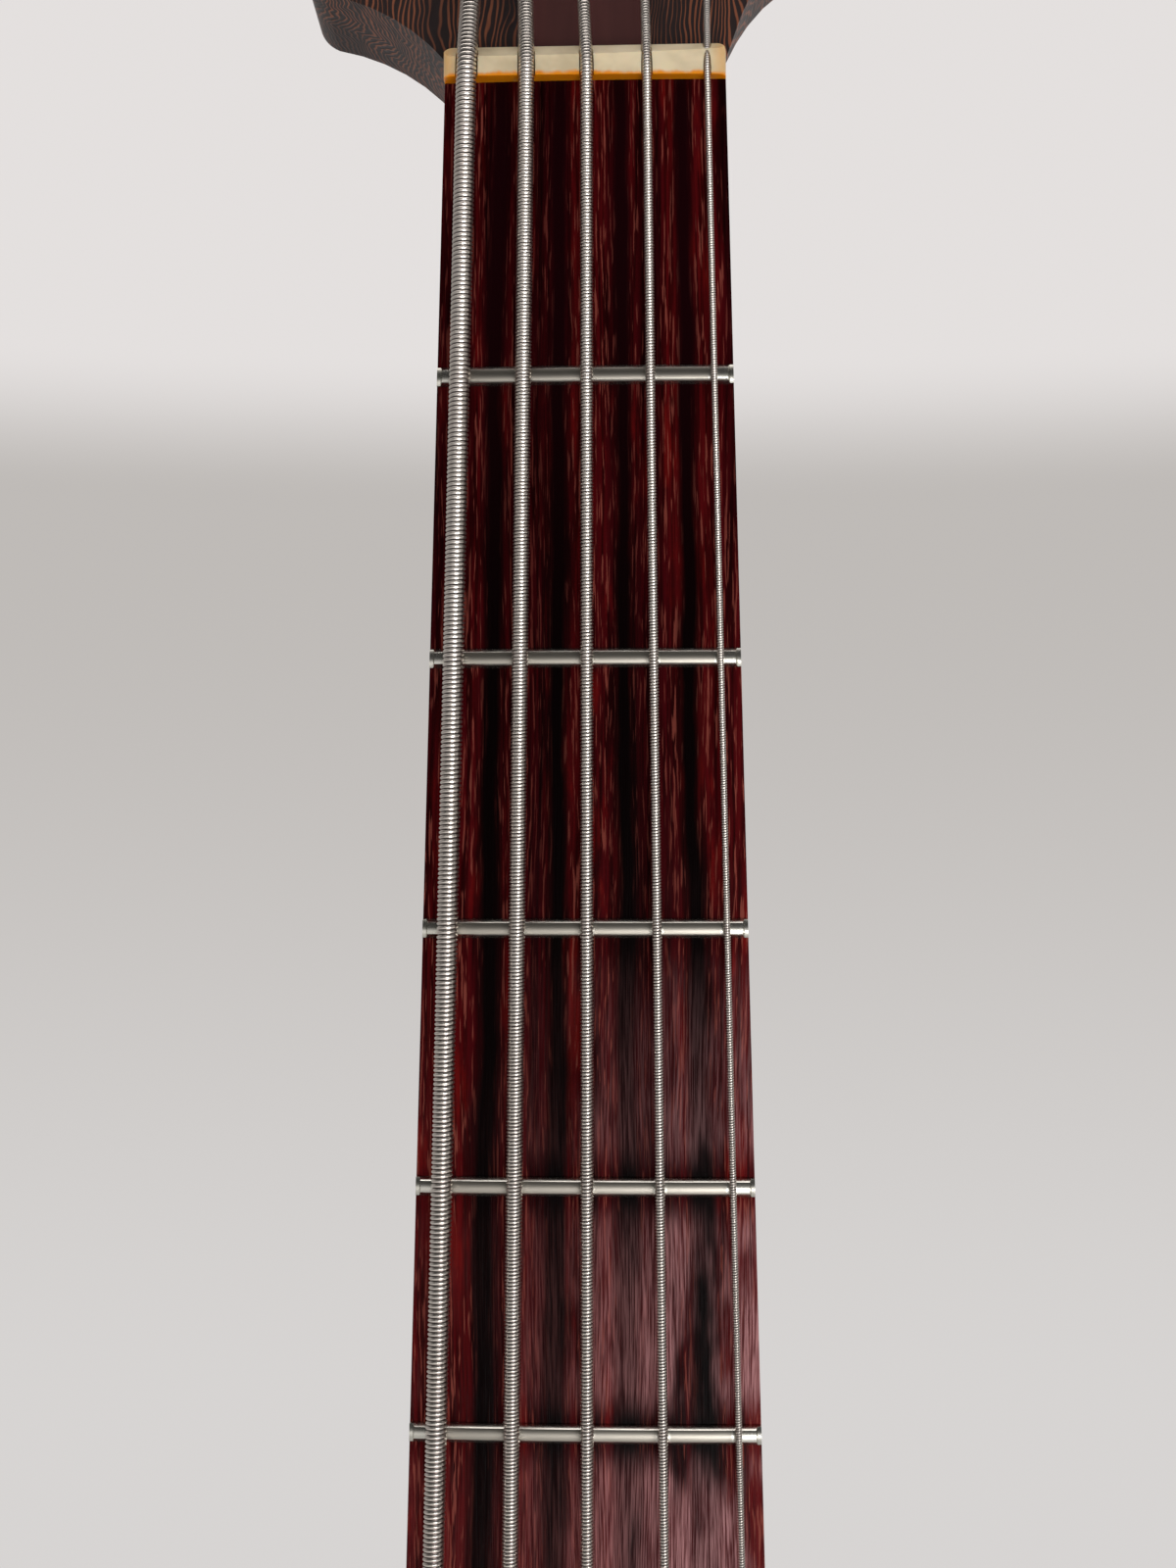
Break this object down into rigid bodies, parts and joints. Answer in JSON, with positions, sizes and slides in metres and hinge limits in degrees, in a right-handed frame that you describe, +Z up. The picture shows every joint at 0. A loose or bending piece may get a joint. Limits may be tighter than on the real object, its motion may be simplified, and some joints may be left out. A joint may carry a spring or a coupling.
{
  "type": "electric bass guitar",
  "caption": "Solid-body electric bass guitar with a laminated neck, dark red fretboard, flared tilted headstock, wound strings, geared tuners, sliding saddles and rotary controls.",
  "frame": {"origin": "on the neck's centreline at the front of the nut, in the plane where the fretboard is glued to the neck, where a wall hanger holds the instrument", "axes": "+Z up along the neck towards the headstock, -Y out of the front, +X towards the treble side"},
  "size_m": [0.3239, 0.0682, 1.1344],
  "materials": {
    "body_wood": "oiled satin",
    "neck_side_wood": "oiled satin",
    "neck_core_wood": "oiled satin",
    "fretboard_wood": "polished satin",
    "fret_metal": "polished, worn",
    "nut_bone": "satin",
    "dot_plastic": "gloss",
    "dark_hardware": "satin black",
    "bright_hardware": "polished",
    "saddle_metal": "satin",
    "screw_steel": "blackened",
    "rod_steel": "machined",
    "string_steel": "round wound",
    "ball_brass": "machined",
    "pickup_plastic": "moulded satin",
    "cover_plastic": "moulded satin",
    "knob_plastic": "ribbed",
    "coil_copper": "wound",
    "foam": "cellular",
    "pot_metal": "plated",
    "capacitor_plastic": "gloss",
    "lead_rubber": "matte"
  },
  "bodies": {
    "instrument": {"body": "body_wood", "neck_lamina_bass": "neck_side_wood", "neck_lamina_treble": "neck_side_wood", "neck_core": "neck_core_wood", "fretboard": "fretboard_wood", "frets": "fret_metal", "nut": "nut_bone", "side_dots": "dot_plastic", "tuner_housings": "dark_hardware", "bridge_base": "dark_hardware", "neck_plate": "dark_hardware", "strap_buttons": "dark_hardware", "tuner_bushings": "bright_hardware", "pot_nuts": "bright_hardware", "output_jack": "bright_hardware", "neck_screws": "screw_steel", "tuner_screws": "screw_steel", "bridge_screws": "screw_steel", "intonation_screws": "screw_steel", "pickup_screws": "screw_steel", "control_cover_screws": "screw_steel", "strap_button_screws": "screw_steel", "truss_rod": "rod_steel", "string_b": "string_steel", "string_e": "string_steel", "string_a": "string_steel", "string_d": "string_steel", "string_g": "string_steel", "ball_ends": "ball_brass", "pickup_cover_neck": "pickup_plastic", "pickup_cover_bridge": "pickup_plastic", "control_cover": "cover_plastic", "pickup_coils": "coil_copper", "pickup_foam": "foam", "potentiometers": "pot_metal", "capacitor": "capacitor_plastic", "wiring": "lead_rubber"},
    "key_b": {"tuner_key_b": "dark_hardware"},
    "post_b": {"tuner_post_b": "bright_hardware"},
    "saddle_b": {"saddle_b": "saddle_metal"},
    "key_e": {"tuner_key_e": "dark_hardware"},
    "post_e": {"tuner_post_e": "bright_hardware"},
    "saddle_e": {"saddle_e": "saddle_metal"},
    "key_a": {"tuner_key_a": "dark_hardware"},
    "post_a": {"tuner_post_a": "bright_hardware"},
    "saddle_a": {"saddle_a": "saddle_metal"},
    "key_d": {"tuner_key_d": "dark_hardware"},
    "post_d": {"tuner_post_d": "bright_hardware"},
    "saddle_d": {"saddle_d": "saddle_metal"},
    "key_g": {"tuner_key_g": "dark_hardware"},
    "post_g": {"tuner_post_g": "bright_hardware"},
    "saddle_g": {"saddle_g": "saddle_metal"},
    "control_volume": {"knob_volume": "knob_plastic", "shaft_volume": "rod_steel"},
    "control_blend": {"knob_blend": "knob_plastic", "shaft_blend": "rod_steel"},
    "control_tone": {"knob_tone": "knob_plastic", "shaft_tone": "rod_steel"},
    "truss_wheel": {"truss_rod_wheel": "rod_steel"}
  },
  "joints": [
    {"name": "key_turn_b", "type": "hinge", "parent": "instrument", "child": "key_b", "pos_m": [-0.05017, 0.03246, 0.04852], "axis": [1, 0, 0], "continuous": true, "deforming": ["string_b"]},
    {"name": "post_turn_b", "type": "hinge", "parent": "instrument", "child": "post_b", "pos_m": [-0.0245, 0.00695, 0.04489], "axis": [0, -0.9848, 0.1736], "continuous": true, "deforming": ["string_b"]},
    {"name": "saddle_slide_b", "type": "slide", "parent": "instrument", "child": "saddle_b", "axis": [0, 0, 1], "range_m": [-0.004, 0.004], "deforming": ["string_b"]},
    {"name": "key_turn_e", "type": "hinge", "parent": "instrument", "child": "key_e", "pos_m": [-0.04683, 0.03941, 0.08791], "axis": [1, 0, 0], "continuous": true, "deforming": ["string_e"]},
    {"name": "post_turn_e", "type": "hinge", "parent": "instrument", "child": "post_e", "pos_m": [-0.018, 0.01389, 0.08428], "axis": [0, -0.9848, 0.1736], "continuous": true, "deforming": ["string_e"]},
    {"name": "saddle_slide_e", "type": "slide", "parent": "instrument", "child": "saddle_e", "axis": [0, 0, 1], "range_m": [-0.004, 0.004], "deforming": ["string_e"]},
    {"name": "key_turn_a", "type": "hinge", "parent": "instrument", "child": "key_a", "pos_m": [-0.0435, 0.04636, 0.1273], "axis": [1, 0, 0], "continuous": true, "deforming": ["string_a"]},
    {"name": "post_turn_a", "type": "hinge", "parent": "instrument", "child": "post_a", "pos_m": [-0.012, 0.02084, 0.12368], "axis": [0, -0.9848, 0.1736], "continuous": true, "deforming": ["string_a"]},
    {"name": "saddle_slide_a", "type": "slide", "parent": "instrument", "child": "saddle_a", "axis": [0, 0, 1], "range_m": [-0.004, 0.004], "deforming": ["string_a"]},
    {"name": "key_turn_d", "type": "hinge", "parent": "instrument", "child": "key_d", "pos_m": [0.03976, 0.04028, 0.09283], "axis": [1, 0, 0], "continuous": true, "deforming": ["string_d"]},
    {"name": "post_turn_d", "type": "hinge", "parent": "instrument", "child": "post_d", "pos_m": [0.013, 0.01476, 0.08921], "axis": [0, -0.9848, 0.1736], "continuous": true, "deforming": ["string_d"]},
    {"name": "saddle_slide_d", "type": "slide", "parent": "instrument", "child": "saddle_d", "axis": [0, 0, 1], "range_m": [-0.004, 0.004], "deforming": ["string_d"]},
    {"name": "key_turn_g", "type": "hinge", "parent": "instrument", "child": "key_g", "pos_m": [0.04557, 0.03333, 0.05344], "axis": [1, 0, 0], "continuous": true, "deforming": ["string_g"]},
    {"name": "post_turn_g", "type": "hinge", "parent": "instrument", "child": "post_g", "pos_m": [0.025, 0.00781, 0.04982], "axis": [0, -0.9848, 0.1736], "continuous": true, "deforming": ["string_g"]},
    {"name": "saddle_slide_g", "type": "slide", "parent": "instrument", "child": "saddle_g", "axis": [0, 0, 1], "range_m": [-0.004, 0.004], "deforming": ["string_g"]},
    {"name": "turn_volume", "type": "hinge", "parent": "instrument", "child": "control_volume", "pos_m": [0.094, 0.007, -0.802], "axis": [0, -1, 0], "range_deg": [-140, 140]},
    {"name": "turn_blend", "type": "hinge", "parent": "instrument", "child": "control_blend", "pos_m": [0.108, 0.007, -0.836], "axis": [0, -1, 0], "range_deg": [-140, 140]},
    {"name": "turn_tone", "type": "hinge", "parent": "instrument", "child": "control_tone", "pos_m": [0.104, 0.007, -0.872], "axis": [0, -1, 0], "range_deg": [-140, 140]},
    {"name": "truss_wheel_turn", "type": "hinge", "parent": "instrument", "child": "truss_wheel", "pos_m": [0, 0.008, -0.663], "axis": [0, 0, 1], "range_deg": [-180, 180]}
  ],
  "couplings": [
    {"joint": "post_turn_b", "follows": "key_turn_b", "ratio": 0.05},
    {"joint": "post_turn_e", "follows": "key_turn_e", "ratio": 0.05},
    {"joint": "post_turn_a", "follows": "key_turn_a", "ratio": 0.05},
    {"joint": "post_turn_d", "follows": "key_turn_d", "ratio": 0.05},
    {"joint": "post_turn_g", "follows": "key_turn_g", "ratio": 0.05}
  ]
}
